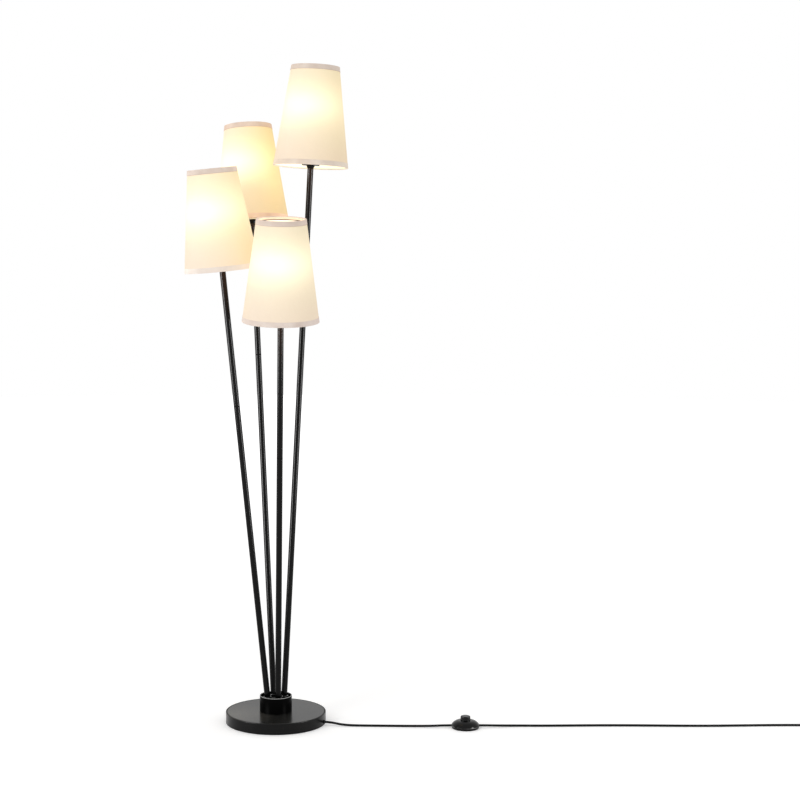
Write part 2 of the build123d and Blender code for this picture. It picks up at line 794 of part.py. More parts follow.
spring_bottom = mechanism_top + spring_wire_radius + slide_gap
spring_top = button_ceiling - spring_wire_radius - slide_gap
spring_points = []
spring_directions = []
for quarter in range(4 * spring_turns + 1):
    climb = (spring_top - spring_bottom) / (4 * spring_turns)
    foot = switch.origin + Vector(0, 0, spring_bottom + climb * quarter)
    spring_points.append(foot + polar(spring_radius, 90 * quarter))
    along = polar(spring_radius * pi / 2, 90 * quarter + 90, climb)
    spring_directions.append(along.normalized())

with BuildPart() as switch_spring:
    with BuildLine() as spring_line:
        winding(spring_points, spring_directions)
    sweep_round(spring_line.wire(), spring_wire_radius)
save(switch_spring, "switch_spring")

# ---------------------------------------------------------------- mains lead

coil_entry_radius = coil_inner_radius + coil_pitch * quarters_inwards / 4
coil_centre_y = coil_entry_y + coil_entry_radius
coil_top_height = cord_floor_height + coil_pitch
switch_reach = switch_radius - switch_cord_depth
exit_point = polar(bush_outer_face, cord_exit_azimuth, cord_exit_height)
exit_run = 16.0  # the straight stretch out of the bush
coil_approach = 32.0  # the straight stretch up to the coil

# From the base to the switch: out of the bush, down to the floor, and gently up into the housing
base_route = [
    exit_point,
    exit_point + cord_exit_direction * exit_run,
    Vector(163.0, -42.4, 4.4),
    Vector(193.0, -45.6, cord_floor_height),
    Vector(251.0, -47.6, cord_floor_height),
    Vector(323.0, -50.8, 3.1),
    Vector(381.0, -54.2, 4.0),
    Vector(418.0, switch_y, switch_cord_height),
    Vector(switch_x - switch_reach, switch_y, switch_cord_height),
]

# From the switch to the coil, in long shallow waves
plug_route = [
    Vector(switch_x + switch_reach, switch_y, switch_cord_height),
    Vector(521.0, switch_y, switch_cord_height),
    Vector(553.0, -51.8, 4.4),
    Vector(598.0, -46.6, cord_floor_height),
    Vector(668.0, -48.0, cord_floor_height),
    Vector(747.0, -45.4, cord_floor_height),
    Vector(830.0, -43.8, cord_floor_height),
    Vector(914.0, -45.2, cord_floor_height),
    Vector(998.0, -48.3, cord_floor_height),
    Vector(1080.0, -48.8, cord_floor_height),
    Vector(1160.0, -45.2, cord_floor_height),
    Vector(1236.0, -42.2, cord_floor_height),
    Vector(1296.0, -42.0, cord_floor_height),
    Vector(coil_x - cord_diameter - coil_approach, coil_entry_y, cord_floor_height),
    Vector(coil_x - cord_diameter, coil_entry_y, cord_floor_height),
]


def corner_radii(route):
    """For each corner of a route, the largest arc that its two runs allow."""
    radii = []
    for before, corner, after in zip(route, route[1:], route[2:]):
        run_in, run_out = corner - before, after - corner
        half_turn = radians(run_in.get_angle(run_out)) / 2
        radii.append(0.45 * min(run_in.length, run_out.length) / tan(half_turn))
    return radii


def report_tube(name, part, length):
    """Print a tube's length, and its volume beside its section times its length."""
    section = pi * cord_radius**2
    print(f"{name}: length {length:.1f}, volume {part.volume:.0f} against {section * length:.0f}")


cord_length = 0.0
for name, route in (("cord_base_run", base_route), ("cord_plug_run", plug_route)):
    radii = corner_radii(route)
    with BuildPart() as cord_run:
        with BuildLine() as cord_line:
            FilletPolyline(*route, radius=radii)
        sweep_round(cord_line.wire(), cord_radius)
    print(f"{name}: arc radii {[round(radius) for radius in radii]}")
    report_tube(name, cord_run.part, cord_line.wire().length)
    cord_length += cord_line.wire().length
    save(cord_run, name)

# The coil winds inwards on the floor, climbs a layer in the half turn where it reverses, and winds out
coil_points = []
coil_directions = []
quarter_count = quarters_inwards + quarters_outwards
for quarter in range(quarter_count + 1):
    after = quarter - quarters_inwards
    azimuth = 90.0 * quarter - 90.0
    radius = coil_inner_radius + coil_pitch * abs(after) / 4
    rise = min(max((after + 1) / 2, 0.0), 1.0)
    height = cord_floor_height + coil_pitch * rise
    coil_points.append(Vector(coil_x, coil_centre_y, height) + polar(radius, azimuth))
    drift = (after > 0) - (after < 0) if 0 < quarter < quarter_count else 0
    slope = 1.5 * coil_pitch / pi if after == 0 else 0.0
    along = polar(radius, azimuth + 90, slope) + polar(drift * coil_pitch / (2 * pi), azimuth)
    coil_directions.append(along.normalized())

with BuildPart() as cord_coil:
    with BuildLine() as coil_line:
        Line(coil_points[0] - coil_directions[0] * cord_diameter, coil_points[0])
        winding(coil_points, coil_directions)
        Line(coil_points[-1], coil_points[-1] + coil_directions[-1] * cord_diameter)
    coil_wire = coil_line.wire()
    sweep_round(coil_wire, cord_radius)
save(cord_coil, "cord_coil")
report_tube("cord_coil", cord_coil.part, coil_wire.length)

sample_count = 700
samples = [coil_wire.position_at(index / sample_count) for index in range(sample_count + 1)]
apart = int(sample_count * pi * coil_inner_radius / coil_wire.length)
least_gap = min(
    (first - second).length for index, first in enumerate(samples) for second in samples[index + apart :]
)
print(f"cord_coil: least gap to itself {least_gap - cord_diameter:.2f}")
print(f"lead: whole length {cord_length + coil_wire.length:.0f}")

# ---------------------------------------------------------------- plug

coil_end = coil_points[-1] + coil_directions[-1] * cord_diameter
plug_axis = Plane(coil_end, x_dir=(1, 0, 0), z_dir=coil_directions[-1])
plug_thickness = 2 * (coil_top_height - floor_gap)
with BuildPart() as plug_body:
    relief_end = relief_length + relief_overlap
    turn(plug_axis, [(0, 0), (relief_tip_radius, 0), (relief_root_radius, relief_end), (0, relief_end)])
    with BuildSketch(plug_axis.offset(relief_length)):
        RectangleRounded(plug_width, plug_thickness, plug_corner_round)
    extrude(amount=plug_length)
    fillet(plug_body.faces().sort_by(Axis.Y)[-1].edges(), plug_face_round)
    shoulder = plug_body.faces().filter_by(Axis.Y).sort_by(Axis.Y)[1]
    fillet(shoulder.outer_wire().edges(), plug_shoulder_round)
save(plug_body, "plug_body")

with BuildPart() as plug_blades:
    with BuildSketch(plug_axis.offset(relief_length + plug_length)):
        with GridLocations(blade_spacing, 0, 2, 1):
            Rectangle(blade_thickness, blade_width)
    extrude(amount=blade_length)
    chamfer(plug_blades.faces().group_by(Axis.Y)[-1].edges(), blade_chamfer)
save(plug_blades, "plug_blades")
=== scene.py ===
from math import cos, pi, radians, sin

import bmesh
import bpy
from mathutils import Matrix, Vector


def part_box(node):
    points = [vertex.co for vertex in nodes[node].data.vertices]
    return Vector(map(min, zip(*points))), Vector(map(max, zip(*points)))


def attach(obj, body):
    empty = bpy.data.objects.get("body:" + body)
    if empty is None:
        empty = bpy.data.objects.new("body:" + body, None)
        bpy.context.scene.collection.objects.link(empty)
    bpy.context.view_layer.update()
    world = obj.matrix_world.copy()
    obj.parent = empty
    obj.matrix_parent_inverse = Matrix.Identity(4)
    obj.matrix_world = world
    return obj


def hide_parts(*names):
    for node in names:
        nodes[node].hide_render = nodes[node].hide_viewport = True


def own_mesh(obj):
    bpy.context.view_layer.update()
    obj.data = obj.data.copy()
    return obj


# Tree floor lamp: the looks of a weighted base, four leaning poles with lit cone shades, and a mains lead
# with a foot switch. Metres, in the part's own frame: +Z up, +X to the right in the front view.

# ---------------------------------------------------------------- driving dimensions

MM = 0.001
ARMS = ("left", "rear", "front", "right")

# Poles and shades
UPPER_SECTION = 335 * MM  # from the joint in a pole up to the shade's lower edge
SEAT_HEIGHT = 3 * MM  # from the top of the pole up to the shade's lower edge
SHADE_BOTTOM_RADIUS = 92.2 * MM
SHADE_TOP_RADIUS = 59.4 * MM
SHADE_HEIGHT = 244 * MM
SHADE_WALL = 1.2 * MM
SHADE_SLOPE = (SHADE_BOTTOM_RADIUS - SHADE_TOP_RADIUS) / SHADE_HEIGHT
FRAME_WIRE_RADIUS = 1.5 * MM
WIRE_GAP = 0.1 * MM  # from the top wire to the shade's wall and to its upper edge
TAPE_WIDTH = 12 * MM
TAPE_THICKNESS = 0.45 * MM
TAPE_GAP = 0.05 * MM
TAPE_TURN_START = 0.1 * MM  # where a tape begins to turn over, from the shade's edge
TAPE_TURN_SHARE = 0.7  # of a tape's stand-off, at the middle of that turn
TAPE_FOLD = 9 * MM  # how far the top tape reaches down inside
TAPE_FOLD_MIDDLE = 0.62  # a middle point of that fold, as a share of its depth
TAPE_SEGMENTS = 96
BASE_RADIUS = 125 * MM
COLLAR_RIM = 68.4 * MM  # its height

# Mains lead
CORD_RADIUS = 2.9 * MM
FLOOR_LIE = 2.95 * MM  # the height of the cord's centre where it lies on the floor
EXIT_RADIUS = 127.05 * MM
EXIT_AZIMUTH = -15.0
EXIT_HEIGHT = 8.5 * MM
EXIT_RUN = 16 * MM
SWITCH_X = 470 * MM
SWITCH_Y = -56 * MM
SWITCH_REACH = 27 * MM  # from the switch's middle out to where the lead ends inside it
SWITCH_CORD_HEIGHT = 6 * MM
COIL_X = 1358 * MM
COIL_ENTRY_Y = -44 * MM
COIL_INNER_RADIUS = 25 * MM
COIL_PITCH = 6.3 * MM
QUARTERS_INWARDS = 6
QUARTERS_OUTWARDS = 7
COIL_POINTS_PER_QUARTER = 5
COIL_CENTRE_Y = COIL_ENTRY_Y + COIL_INNER_RADIUS + COIL_PITCH * QUARTERS_INWARDS / 4
STRAP_WIDTH = 10 * MM
STRAP_THICKNESS = 0.9 * MM
STRAP_GAP = 0.02 * MM  # between the strap and the lead
STRAP_FLOOR_GAP = 0.1 * MM
STRAP_LAP = (95, 215)  # degrees round the strands, where the strap's end lies on itself
STRAP_STEP = 5  # degrees

# Return spring in the foot switch
SPRING_RADIUS = 6.2 * MM
SPRING_WIRE_RADIUS = 0.45 * MM
SPRING_BOTTOM = 10.55 * MM  # of its wire's centre
SPRING_TOP = 27.85 * MM
SPRING_TURNS = 5
SPRING_STEPS = 24  # along each turn
SPRING_SIDES = 8

# Camera, in the photograph's 800 by 800 frame
FRAME_SIDE = 800
FOCAL_PIXELS = 1805.8
AXIS_PIXEL_X = 328.73  # where the camera's axis meets the picture, so the frame is shifted sideways
CAMERA_PLACE = (132.2 * MM, -4424 * MM, 1225.5 * MM)
CAMERA_PITCH = 5.386  # degrees below level
SENSOR_WIDTH = 36.0

# ---------------------------------------------------------------- the frame

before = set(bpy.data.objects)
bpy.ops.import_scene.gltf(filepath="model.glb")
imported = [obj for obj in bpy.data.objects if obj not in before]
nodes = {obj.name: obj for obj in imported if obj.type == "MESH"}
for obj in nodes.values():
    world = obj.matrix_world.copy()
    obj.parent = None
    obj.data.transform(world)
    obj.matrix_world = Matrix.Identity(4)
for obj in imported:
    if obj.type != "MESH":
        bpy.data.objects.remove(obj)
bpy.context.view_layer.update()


def middle(node):
    """The centre of a CAD node's box."""
    low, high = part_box(node)
    return (low + high) / 2


class Arm:
    """One arm's axis: the centre of its shade's lower edge, the way up, and two directions across it."""

    def __init__(self, name):
        self.name = name
        upper = middle(f"pole_upper_{name}")
        self.up = (upper - middle(f"pole_lower_{name}")).normalized()
        self.edge = upper + self.up * (UPPER_SECTION + SEAT_HEIGHT) / 2
        self.across = Vector((self.up.z, 0, -self.up.x)).normalized()
        self.behind = self.up.cross(self.across)

    def at(self, radius, azimuth, height):
        """A point at a radius, an azimuth in radians and a height on this arm's shade."""
        outwards = self.across * cos(azimuth) + self.behind * sin(azimuth)
        return self.edge + outwards * radius + self.up * height


arms = {name: Arm(name) for name in ARMS}


def cone_radius(height):
    """The shade's outer radius at a height above its lower edge."""
    return SHADE_BOTTOM_RADIUS - SHADE_SLOPE * height


# ---------------------------------------------------------------- materials

PATCH_SCALE = 14.0  # of the slow unevenness in paint
GRAIN_SCALE = 900.0
GRAIN_DEPTH = 0.00001


class Nodes:
    """A material's node tree with one Principled shader, and short ways to add nodes to it."""

    def __init__(self, name):
        self.material = bpy.data.materials.new(name)
        self.material.use_nodes = True
        self.tree = self.material.node_tree
        self.shader = self.tree.nodes["Principled BSDF"]
        self.coordinates = self.tree.nodes.new("ShaderNodeTexCoord").outputs["Object"]

    def add(self, kind, inputs=None, **settings):
        """A node with settings, whose inputs are constants or other nodes' outputs."""
        node = self.tree.nodes.new(f"ShaderNode{kind}")
        for key, value in settings.items():
            setattr(node, key, value)
        for key, value in (inputs or {}).items():
            self.feed(node.inputs[key], value)
        return node

    def feed(self, socket, value):
        """Set a socket to a constant or link it to an output."""
        if isinstance(value, bpy.types.NodeSocket):
            self.tree.links.new(value, socket)
        else:
            socket.default_value = value

    def shade(self, **inputs):
        """Feed the Principled shader's inputs, whose names are given with _ for each space."""
        for key, value in inputs.items():
            self.feed(self.shader.inputs[key.replace("_", " ")], value)

    def math(self, operation, first, second=0.0):
        return self.add("Math", {0: first, 1: second}, operation=operation).outputs[0]

    def noise(self, scale, detail=3.0, roughness=0.5, stretch=(1, 1, 1)):
        """Noise in the object's own space, from 0 to 1, drawn out along the axes with a small stretch."""
        mapping = self.add("Mapping", {"Vector": self.coordinates, "Scale": stretch})
        inputs = {"Vector": mapping.outputs[0], "Scale": scale, "Detail": detail, "Roughness": roughness}
        return self.add("TexNoise", inputs).outputs[0]

    def between(self, factor, low, high):
        """A number from low to high as a factor goes from 0 to 1."""
        inputs = {"Value": factor, "To Min": low, "To Max": high}
        return self.add("MapRange", inputs).outputs[0]

    def ramp(self, factor, *stops):
        """A colour from (place, colour) stops."""
        node = self.add("ValToRGB", {0: factor})
        elements = node.color_ramp.elements
        while len(elements) < len(stops):
            elements.new(0.5)
        for element, (place, colour) in zip(elements, stops):
            element.position = place
            element.color = (*colour, 1)
        return node.outputs[0]

    def on_arm(self, arm):
        """A point's height above an arm's shade edge, its places across and behind, radius and azimuth."""
        place = self.add("VectorMath", {0: self.coordinates, 1: arm.edge}, operation="SUBTRACT").outputs[0]
        height, side, behind = (
            self.add("VectorMath", {0: place, 1: way}, operation="DOT_PRODUCT").outputs["Value"]
            for way in (arm.up, arm.across, arm.behind)
        )
        squares = self.math("ADD", self.math("POWER", side, 2), self.math("POWER", behind, 2))
        return height, side, behind, self.math("POWER", squares, 0.5), self.math("ARCTAN2", behind, side)

    def rising(self, value, low, high):
        """0 below a value, 1 above another, and a straight rise between them."""
        return self.add("MapRange", {"Value": value, "From Min": low, "From Max": high}).outputs[0]

    def mix(self, factor, first, second):
        """A colour between two, which are constants or outputs."""
        first, second = (
            (*colour, 1) if isinstance(colour, (tuple, list)) and len(colour) == 3 else colour
            for colour in (first, second)
        )
        return self.add("Mix", {"Factor": factor, "A": first, "B": second}, data_type="RGBA").outputs[2]

    def bump(self, height, distance, strength=1.0):
        inputs = {"Height": height, "Distance": distance, "Strength": strength}
        return self.add("Bump", inputs).outputs[0]

    def paint_grain(self):
        """The normals of smooth paint, with its fine grain."""
        return self.bump(self.noise(GRAIN_SCALE, 2.0), GRAIN_DEPTH)

    def height(self):
        """A point's height above the floor."""
        return self.add("SeparateXYZ", {0: self.coordinates}).outputs[2]


def coated(name, colour, roughness, grain=GRAIN_SCALE, depth=GRAIN_DEPTH, stretch=(1, 1, 1), **constants):
    """Paint or plastic: a slightly uneven tone and gloss, and a fine surface grain."""
    made = Nodes(name)
    patches = made.noise(PATCH_SCALE, stretch=stretch)
    tone = made.ramp(patches, (0.3, [c * 0.85 for c in colour]), (0.7, [c * 1.15 for c in colour]))
    made.shade(Base_Color=tone, Roughness=made.between(patches, *roughness), **constants)
    made.shade(Normal=made.bump(made.noise(grain, 2.0, stretch=stretch), depth))
    return made.material


# Black paint on the poles, the base, the collar and the switch
PAINT_SPECULAR = 0.12
POLE_STRETCH = (1, 1, 0.05)
POLE_BLACK = (0.002, 0.002, 0.002)
POLE_GLOSS = (0.10, 0.18)
# Painted warm reflection of the lit shade, on the top of each pole
POLE_PAINTED_REFLECTION = (0.024, 0.012, 0.007)
POLE_REFLECTION_REACH = 140 * MM  # down from the shade's lower edge
POLE_REFLECTION_FALL = 1.5
POLE_SEAM = 2.6 * MM  # its width
BASE_BLACK = (0.004, 0.004, 0.004)
# Painted sheen: the top is given a lighter black than the side
BASE_TOP_SHEEN = (0.013, 0.013, 0.012)
BASE_GLOSS = (0.20, 0.26)
BASE_TOP_RISE = (27.2 * MM, 27.8 * MM)  # the heights between which the base's side turns into its top
BASE_RING_STARTS = (4.2 * MM, 3.4 * MM)  # in from the base's outside, where its dull ring sets in
BASE_RING_ENDS = (1.4 * MM, 1.0 * MM)
# Painted warm reflection of the lit shades on the base's top, to the front left
BASE_PAINTED_REFLECTION = (0.075, 0.069, 0.057)
REFLECTION_PLACE = (-0.105, -0.035, 0.0)
REFLECTION_REACH = 0.11
COLLAR_BLACK = (0.002, 0.002, 0.002)
COLLAR_GLOSS = (0.2, 0.28)
COLLAR_SPECULAR = 0.015
# Painted highlight: a pale band along the top of the collar's rim
COLLAR_RIM_STARTS = (1.0 * MM, 0.7 * MM)  # down from the rim, where its bright line sets in
RIM_PAINTED_HIGHLIGHT = (0.42, 0.42, 0.41)
SWITCH_BLACK = (0.003, 0.003, 0.003)
SWITCH_GLOSS = (0.12, 0.18)
SWITCH_SPECULAR = 0.15
LIP_STARTS = (5.4 * MM, 5.8 * MM)  # the heights between which the painted highlight on the switch's lip sets in
LIP_ENDS = (7.0 * MM, 7.4 * MM)
# Painted highlight on the switch's lip, in patches
LIP_HIGHLIGHT_BREAKUP = (0.35, 0.65)
LIP_PAINTED_HIGHLIGHT = (0.16, 0.16, 0.16)


def pole_paint(name, arm):
    """A pole's gloss black: dull in the seam between its sections, with a painted warm reflection of its lit
    shade near the top.
    """
    made = Nodes(name)
    height = made.on_arm(arm)[0]
    patches = made.noise(PATCH_SCALE, stretch=POLE_STRETCH)
    # painted warm reflection of the lit shade, fading down the pole
    reflection_share = made.math("POWER", made.rising(height, -POLE_REFLECTION_REACH, 0.0), POLE_REFLECTION_FALL)
    made.shade(Base_Color=made.mix(reflection_share, POLE_BLACK, POLE_PAINTED_REFLECTION))
    off_seam = made.math("ABSOLUTE", made.math("ADD", height, UPPER_SECTION))
    seam = made.math("LESS_THAN", off_seam, POLE_SEAM / 2)
    made.shade(Roughness=made.math("MAXIMUM", seam, made.between(patches, *POLE_GLOSS)))
    made.shade(Normal=made.paint_grain(), Specular_IOR_Level=PAINT_SPECULAR)
    return made.material


def base_paint(name):
    """The base's gloss black: dull and dark just inside the rim of its top, with a painted sheen that makes
    the top lighter than the side, and a painted warm reflection of the lit shades to the front left.
    """
    made = Nodes(name)
    patches = made.noise(PATCH_SCALE)
    flat = made.add("VectorMath", {0: made.coordinates, 1: (1, 1, 0)}, operation="MULTIPLY").outputs[0]
    radius = made.add("VectorMath", {0: flat}, operation="LENGTH").outputs["Value"]
    near_edge = made.rising(radius, *(BASE_RADIUS - inset for inset in BASE_RING_STARTS))
    past_edge = made.rising(radius, *(BASE_RADIUS - inset for inset in BASE_RING_ENDS))
    ring = made.math("SUBTRACT", near_edge, past_edge)
    # painted warm reflection of the lit shades, on the top only and not on the dull ring
    off_reflection = made.add("VectorMath", {0: flat, 1: REFLECTION_PLACE}, operation="DISTANCE").outputs["Value"]
    reflection_falloff = made.math("SUBTRACT", 1.0, made.rising(off_reflection, 0.0, REFLECTION_REACH))
    top = made.rising(made.height(), *BASE_TOP_RISE)
    painted_reflection_mask = made.math("MULTIPLY", made.math("MULTIPLY", reflection_falloff, top), made.math("SUBTRACT", 1.0, ring))
    # painted sheen: a lighter black on the top than on the side
    plain = made.mix(top, BASE_BLACK, BASE_TOP_SHEEN)
    made.shade(Base_Color=made.mix(painted_reflection_mask, plain, BASE_PAINTED_REFLECTION))
    made.shade(Roughness=made.math("MAXIMUM", ring, made.between(patches, *BASE_GLOSS)))
    made.shade(Normal=made.paint_grain(), Specular_IOR_Level=PAINT_SPECULAR)
    return made.material


def collar_paint(name):
    """The collar's gloss black, with a painted highlight along its rim."""
    made = Nodes(name)
    patches = made.noise(PATCH_SCALE)
    # painted highlight along the rim
    rim = made.rising(made.height(), *(COLLAR_RIM - drop for drop in COLLAR_RIM_STARTS))
    made.shade(Base_Color=made.mix(rim, COLLAR_BLACK, RIM_PAINTED_HIGHLIGHT))
    made.shade(Roughness=made.between(patches, *COLLAR_GLOSS))
    made.shade(Normal=made.paint_grain(), Specular_IOR_Level=COLLAR_SPECULAR)
    return made.material


def switch_paint(name):
    """The foot switch's gloss black, with a painted highlight along its lip, broken up by noise."""
    made = Nodes(name)
    patches = made.noise(40.0)
    height = made.height()
    # painted highlight along the lip, in patches
    lip = made.math("SUBTRACT", made.rising(height, *LIP_STARTS), made.rising(height, *LIP_ENDS))
    lip_highlight = made.math("MULTIPLY", lip, made.rising(made.noise(60.0, 1.0), *LIP_HIGHLIGHT_BREAKUP))
    made.shade(Base_Color=made.mix(lip_highlight, SWITCH_BLACK, LIP_PAINTED_HIGHLIGHT))
    made.shade(Roughness=made.between(patches, *SWITCH_GLOSS))
    made.shade(Normal=made.paint_grain(), Specular_IOR_Level=SWITCH_SPECULAR)
    return made.material


def metallic(name, colour, roughness, grain=400.0, depth=0.00003, stretch=(1, 1, 1)):
    """Bare or plated metal, with a fine uneven gloss."""
    made = Nodes(name)
    marks = made.noise(grain, 3.0, stretch=stretch)
    tone = made.ramp(marks, (0.25, [c * 0.9 for c in colour]), (0.75, colour))
    made.shade(Base_Color=tone, Roughness=made.between(marks, *roughness), Metallic=1.0)
    made.shade(Normal=made.bump(marks, depth))
    return made.material


def felt(name, colour):
    made = Nodes(name)
    fibres = made.noise(1400.0, 4.0, 0.7)
    made.shade(Base_Color=made.ramp(fibres, (0.3, [c * 0.6 for c in colour]), (0.7, colour)))
    made.shade(Roughness=0.95, Normal=made.bump(fibres, 0.0004))
    return made.material


# The light that comes through a shade's cloth
GLOW_HEIGHT = 137 * MM  # of the brightest spot, above the shade's lower edge
GLOW_SHIFT = 15 * MM  # how far the light's middle stands off the shade's axis
GLOW_AZIMUTHS = {"left": radians(-112), "rear": radians(-112), "front": radians(-97), "right": radians(-112)}
GLOW_SHARPNESS = 4.0
SPREAD_LIGHT = (  # by the height on the shade as a share of it
    (0.00, (0.350, 0.285, 0.215)),
    (0.30, (0.370, 0.320, 0.215)),
    (0.70, (0.390, 0.335, 0.205)),
    (1.00, (0.380, 0.340, 0.210)),
)
DIRECT_LIGHT = (0.60, 0.58, 0.41)
INNER_LIGHT = (0.95, 0.88, 0.70, 1)
PLAIN_CLOTH = (0.62, 0.53, 0.45)
NEIGHBOUR_LIGHT_TINT = (1.0, 0.90, 0.60)  # painted warm light of the other shades: what the side turned to them keeps of each colour
THREADS_PER_METRE = 1500
THREADS_ROUND = 700
TAPE_RIBS = 600


def cloth(name, arm, level, neighbour_light_left, neighbour_light_right):
    """Woven cloth on a stiff liner, with its bulb's light painted in: one bright spot, warmer away from it,
    and painted warm light on the side turned to the other shades.
    """
    made = Nodes(name)
    height, side, _, radius, turn = made.on_arm(arm)

    def product(first, second):
        return made.add("VectorMath", {0: first, 1: second}, operation="MULTIPLY").outputs[0]

    share = made.math("DIVIDE", height, SHADE_HEIGHT)
    clouds = made.noise(11.0, 3.0)

    light = arm.at(GLOW_SHIFT, GLOW_AZIMUTHS[arm.name], GLOW_HEIGHT)
    nearest = cone_radius(GLOW_HEIGHT) - GLOW_SHIFT
    distance = made.add("VectorMath", {0: made.coordinates, 1: light}, operation="DISTANCE").outputs["Value"]
    uneven = made.math("MULTIPLY", distance, made.between(clouds, 0.96, 1.04))
    closeness = made.math("POWER", made.math("DIVIDE", nearest, uneven), GLOW_SHARPNESS)
    direct = made.add("VectorMath", {0: DIRECT_LIGHT, "Scale": closeness}, operation="SCALE").outputs[0]
    drift = made.math("MULTIPLY", made.math("SUBTRACT", clouds, 0.5), 0.3)
    spread = made.ramp(made.math("ADD", share, drift), *SPREAD_LIGHT)
    outside = made.add("VectorMath", {0: direct, 1: spread}, operation="ADD").outputs[0]
    cone = made.math("SUBTRACT", SHADE_BOTTOM_RADIUS, made.math("MULTIPLY", height, SHADE_SLOPE))
    inner = made.math("GREATER_THAN", made.math("SUBTRACT", cone, radius), SHADE_WALL / 2)
    glow = made.mix(inner, outside, INNER_LIGHT)

    # painted warm light of the other shades, on the side turned to them, in both glow and colour
    across_share = {"Value": side, "From Min": -SHADE_TOP_RADIUS, "From Max": SHADE_TOP_RADIUS}
    warm = made.add("MapRange", {**across_share, "To Min": neighbour_light_left, "To Max": neighbour_light_right}).outputs[0]
    neighbour_tint = made.ramp(warm, (0.0, (1, 1, 1)), (1.0, NEIGHBOUR_LIGHT_TINT))

    warp = made.math("SINE", made.math("MULTIPLY", turn, THREADS_ROUND))
    weft = made.math("SINE", made.math("MULTIPLY", height, 2 * pi * THREADS_PER_METRE))
    weave = made.math("MULTIPLY", warp, weft)
    slubs = made.noise(160.0, 2.0)
    thickness = made.between(made.math("ADD", weave, slubs), 1.03 * level, 0.97 * level)
    plain = made.ramp(slubs, (0.2, [c * 0.98 for c in PLAIN_CLOTH]), (0.8, [c * 1.02 for c in PLAIN_CLOTH]))
    made.shade(Emission_Color=product(glow, neighbour_tint), Emission_Strength=thickness)
    made.shade(Base_Color=product(plain, neighbour_tint))
    made.shade(Roughness=0.9, Normal=made.bump(weave, 0.00008), Specular_IOR_Level=0.0)
    return made.material


TAPE_LIGHTS = {  # what comes through the bottom tape and the top tape of each shade
    "left": ((0.18, 0.18, 0.17), (0.09, 0.07, 0.06)),
    "rear": ((0.24, 0.10, 0.03), (0.10, 0.05, 0.02)),
    "front": ((0.08, 0.07, 0.07), (0.08, 0.06, 0.05)),
    "right": ((0.10, 0.09, 0.07), (0.06, 0.05, 0.04)),
}
TAPE_DARK = (0.66, 0.54, 0.46)
TAPE_PALE = (0.79, 0.69, 0.61)
TAPE_EDGE_DARK = (0.55, 0.42, 0.34)
DARK_EDGE_LINE = 1.6 * MM  # how far the darker line reaches up from the top tape's lower edge
FOLD_END_BROWN = (0.035, 0.018, 0.010)
FOLD_END_STARTS = (2.2 * MM, 1.8 * MM)  # up from the end of the top tape's fold, where its dark brown band sets in
TAPE_SIDE_START = 0.55  # of the way out to a side, from where on more light comes through
TAPE_SIDE_GAIN = 1.2


def tape(name, arm):
    """Folded edge tape with fine ribs across it, lit from behind, and darker along the top tape's lower
    edge.
    """
    made = Nodes(name)
    height, side, _, radius, turn = made.on_arm(arm)
    slubs = made.noise(30.0, 2.0)
    cloth_tone = made.ramp(slubs, (0.25, TAPE_DARK), (0.75, TAPE_PALE))
    upper = made.math("GREATER_THAN", height, SHADE_HEIGHT / 2)
    below_top = made.math("SUBTRACT", SHADE_HEIGHT, height)
    dark_edge = made.math("MULTIPLY", upper, made.rising(below_top, TAPE_WIDTH - DARK_EDGE_LINE, TAPE_WIDTH))
    inside = made.math("LESS_THAN", radius, SHADE_TOP_RADIUS + SHADE_WALL / 2)
    fold_end = made.rising(below_top, *(TAPE_FOLD - rise for rise in FOLD_END_STARTS))
    tone = made.mix(dark_edge, cloth_tone, TAPE_EDGE_DARK)
    made.shade(Base_Color=made.mix(made.math("MULTIPLY", inside, fold_end), tone, FOLD_END_BROWN))
    low_light, high_light = TAPE_LIGHTS[arm.name]
    sideways = made.math("DIVIDE", made.math("ABSOLUTE", side), radius)
    thin = made.rising(sideways, TAPE_SIDE_START, 1.0)
    through = made.math("ADD", 1.0, made.math("MULTIPLY", thin, TAPE_SIDE_GAIN))
    made.shade(Emission_Color=made.mix(upper, low_light, high_light), Emission_Strength=through)
    ribs = made.math("SINE", made.math("MULTIPLY", turn, TAPE_RIBS))
    made.shade(Roughness=0.85, Normal=made.bump(ribs, 0.00006), Specular_IOR_Level=0.0)
    return made.material


def bulb_light(name, colour, strength):
    """Frosted glass with the light inside it, a little uneven."""
    made = Nodes(name)
    frost = made.noise(120.0, 2.0)
    made.shade(Base_Color=(1.0, 0.96, 0.9, 1), Roughness=made.between(frost, 0.35, 0.5))
    made.shade(Emission_Color=made.ramp(frost, (0.3, [c * 0.94 for c in colour]), (0.7, colour)))
    made.shade(Emission_Strength=strength)
    return made.material


base_black = base_paint("base_black")
collar_black = collar_paint("collar_black")
pole_black = coated(
    "pole_black", POLE_BLACK, POLE_GLOSS, stretch=POLE_STRETCH, Specular_IOR_Level=PAINT_SPECULAR
)
poles = {name: pole_paint(f"pole_black_{name}", arms[name]) for name in ARMS}
holder_black = coated("holder_black", (0.014, 0.014, 0.014), (0.4, 0.5))
cast_iron = coated("cast_iron", (0.10, 0.10, 0.10), (0.7, 0.85), grain=300.0, depth=0.0004)
steel = metallic("steel", (0.62, 0.62, 0.60), (0.3, 0.42))
ferrule_black = coated("ferrule_black", (0.004, 0.004, 0.004), (0.08, 0.12), Specular_IOR_Level=0.5)
brass = metallic("brass", (0.78, 0.60, 0.30), (0.22, 0.34))
cap_metal = metallic("cap_metal", (0.75, 0.75, 0.74), (0.28, 0.4))
floor_felt = felt("floor_felt", (0.05, 0.05, 0.05))
strap_fabric = felt("strap_fabric", (0.02, 0.02, 0.02))
terminal_plastic = coated("terminal_plastic", (0.76, 0.75, 0.70), (0.45, 0.55))
